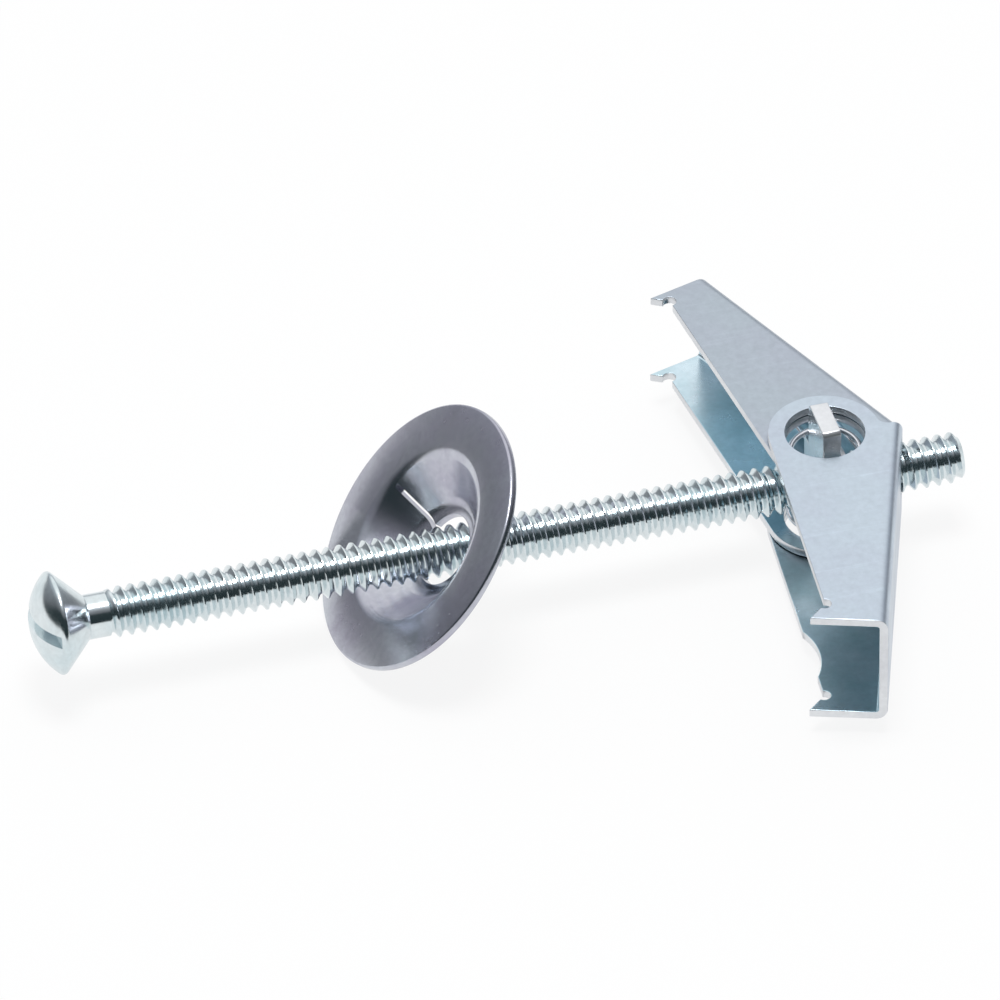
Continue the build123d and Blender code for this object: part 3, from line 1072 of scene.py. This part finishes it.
def add_floor():
    """Plain pale floor, partly white of itself, which keeps a soft shadow."""
    bm = bmesh.new()
    bmesh.ops.create_grid(bm, x_segments=1, y_segments=1, size=FLOOR_HALF_WIDTH)
    mesh = bpy.data.meshes.new("floor")
    bm.to_mesh(mesh)
    bm.free()
    floor = add_object("floor", mesh)
    material = bpy.data.materials.new("pale_floor")
    material.use_nodes = True
    tree = material.node_tree
    shader = tree.nodes["Principled BSDF"]
    shader.inputs["Base Color"].default_value = (*scene_sizes("colours").floor, 1)
    shader.inputs["Roughness"].default_value = FLOOR_ROUGHNESS
    shader.inputs["Specular IOR Level"].default_value = 0.0
    glow = add_node(tree, "ShaderNodeEmission", Strength=1.0)
    mixed = add_node(tree, "ShaderNodeMixShader")
    share = add_node(tree, "ShaderNodeMath", operation="MULTIPLY")
    share.inputs[1].default_value = scene_sizes("colours").floor_glow
    tree.links.new(seen_directly(tree), share.inputs[0])
    tree.links.new(share.outputs["Value"], mixed.inputs["Fac"])
    tree.links.new(shader.outputs["BSDF"], mixed.inputs[1])
    tree.links.new(glow.outputs["Emission"], mixed.inputs[2])
    tree.links.new(mixed.outputs["Shader"], tree.nodes["Material Output"].inputs["Surface"])
    mesh.materials.append(material)


def seen_directly(tree):
    """One for the camera's rays, reflections and rays through glass, and nothing for the rest."""
    rays = add_node(tree, "ShaderNodeLightPath").outputs
    seen = combine(tree, "MAXIMUM", rays["Is Camera Ray"], rays["Is Glossy Ray"])
    return combine(tree, "MAXIMUM", seen, rays["Is Transmission Ray"])


def add_world():
    """Studio room, bright overhead and behind and dim in front, and white to the camera."""
    world = bpy.data.worlds.new("studio_room")
    bpy.context.scene.world = world
    world.use_nodes = True
    tree = world.node_tree
    room = tree.nodes["Background"]
    place = add_node(tree, "ShaderNodeTexCoord")
    facing = add_node(tree, "ShaderNodeVectorMath", operation="DOT_PRODUCT")
    facing.inputs[1].default_value = ROOM_BRIGHT_SIDE
    share = add_node(tree, "ShaderNodeMapRange")
    share.inputs["From Min"].default_value = -1.0
    ramp = add_node(tree, "ShaderNodeValToRGB")
    stops = ramp.color_ramp.elements
    stops[0].position, stops[0].color = ROOM_SHADES[0][0], (*ROOM_SHADES[0][1], 1)
    stops[1].position, stops[1].color = ROOM_SHADES[-1][0], (*ROOM_SHADES[-1][1], 1)
    for position, shade in ROOM_SHADES[1:-1]:
        stops.new(position).color = (*shade, 1)
    path = add_node(tree, "ShaderNodeLightPath")
    seen = add_node(tree, "ShaderNodeMix", data_type="RGBA")
    seen.inputs["B"].default_value = (1, 1, 1, 1)
    tree.links.new(place.outputs["Generated"], facing.inputs[0])
    tree.links.new(facing.outputs["Value"], share.inputs["Value"])
    tree.links.new(share.outputs["Result"], ramp.inputs["Fac"])
    tree.links.new(ramp.outputs["Color"], seen.inputs["A"])
    tree.links.new(path.outputs["Is Camera Ray"], seen.inputs["Factor"])
    tree.links.new(seen.outputs["Result"], room.inputs["Color"])


class TOGGLE_BOLT_OT_stage(bpy.types.Operator):
    """Set up the floor, the lamp, the room and the camera."""

    bl_idname = "toggle_bolt.stage"
    bl_label = "Stage"

    def execute(self, context):
        add_floor()
        add_world()
        add_camera()
        add_lamp()
        context.scene.view_settings.view_transform = "Standard"
        return {"FINISHED"}


class TOGGLE_BOLT_PT_panel(bpy.types.Panel):
    """Sizes, colours and buttons of the toggle bolt."""

    bl_idname = "TOGGLE_BOLT_PT_panel"
    bl_label = "Toggle Bolt"
    bl_space_type = "VIEW_3D"
    bl_region_type = "UI"
    bl_category = "Toggle Bolt"

    def draw(self, context):
        for operator in OPERATORS:
            self.layout.operator(operator.bl_idname)
        for name in GROUPS:
            box = self.layout.box()
            sizes = scene_sizes(name)
            for key in sizes.__annotations__:
                box.prop(sizes, key)


OPERATORS = (
    TOGGLE_BOLT_OT_screw,
    TOGGLE_BOLT_OT_washer,
    TOGGLE_BOLT_OT_nut,
    TOGGLE_BOLT_OT_wings,
    TOGGLE_BOLT_OT_spring,
    TOGGLE_BOLT_OT_stage,
)
GROUPS = {
    "screw": ScrewSizes,
    "washer": WasherSizes,
    "toggle": ToggleSizes,
    "colours": ZincColours,
}


def register():
    """Registers the classes and gives the scene its groups of sizes and colours."""
    for kind in (*GROUPS.values(), *OPERATORS, TOGGLE_BOLT_PT_panel):
        bpy.utils.register_class(kind)
    for name, kind in GROUPS.items():
        setattr(bpy.types.Scene, "toggle_bolt_" + name, bpy.props.PointerProperty(type=kind))


def unregister():
    """Takes the groups and the classes away again."""
    for name in GROUPS:
        delattr(bpy.types.Scene, "toggle_bolt_" + name)
    for kind in reversed((*GROUPS.values(), *OPERATORS, TOGGLE_BOLT_PT_panel)):
        bpy.utils.unregister_class(kind)


def main():
    """Builds the bolt and its stage."""
    register()
    bpy.ops.toggle_bolt.screw()
    bpy.ops.toggle_bolt.washer()
    bpy.ops.toggle_bolt.nut()
    bpy.ops.toggle_bolt.wings()
    bpy.ops.toggle_bolt.spring()
    bpy.ops.toggle_bolt.stage()


if __name__ == "__main__":
    main()
